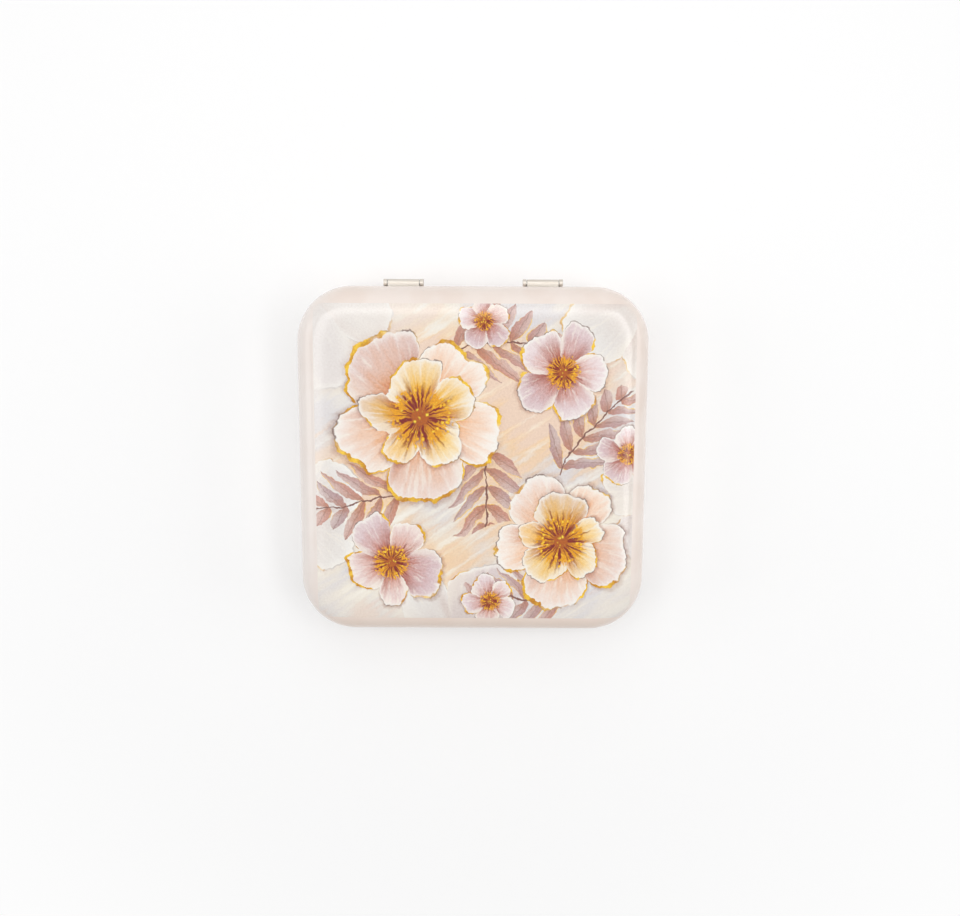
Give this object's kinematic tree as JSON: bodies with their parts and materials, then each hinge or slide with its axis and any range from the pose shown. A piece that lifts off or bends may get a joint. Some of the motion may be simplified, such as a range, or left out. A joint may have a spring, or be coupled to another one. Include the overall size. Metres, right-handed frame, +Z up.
{
  "type": "sewing tin",
  "caption": "Shallow square hinged tin with wide round corners, a floral printed lid with a soft shoulder, and curled wire hinges at the rear.",
  "frame": {"origin": "middle of the underside, on the plane that the tin stands on", "axes": "+Z up through the lid, +Y towards the hinges, +X to the right seen from the front"},
  "size_m": [0.095, 0.0969, 0.0265],
  "materials": {
    "body_lacquer": "satin blush lacquer outside, clear-lacquered bright tin inside and on the curled knuckles",
    "lid_print": "satin floral print on blush lacquer, clear-lacquered bright tin inside and on the curled ears",
    "steel_wire": "bright drawn wire, slightly dulled"
  },
  "bodies": {
    "body": {"body_shell": "body_lacquer", "hinge_wire_left": "steel_wire", "hinge_wire_right": "steel_wire"},
    "lid": {"lid_shell": "lid_print"}
  },
  "joints": [
    {"name": "lid_hinge", "type": "hinge", "parent": "body", "child": "lid", "pos_m": [0, 0.0483, 0.0176], "axis": [-1, 0, 0], "range_deg": [0, 110]}
  ]
}
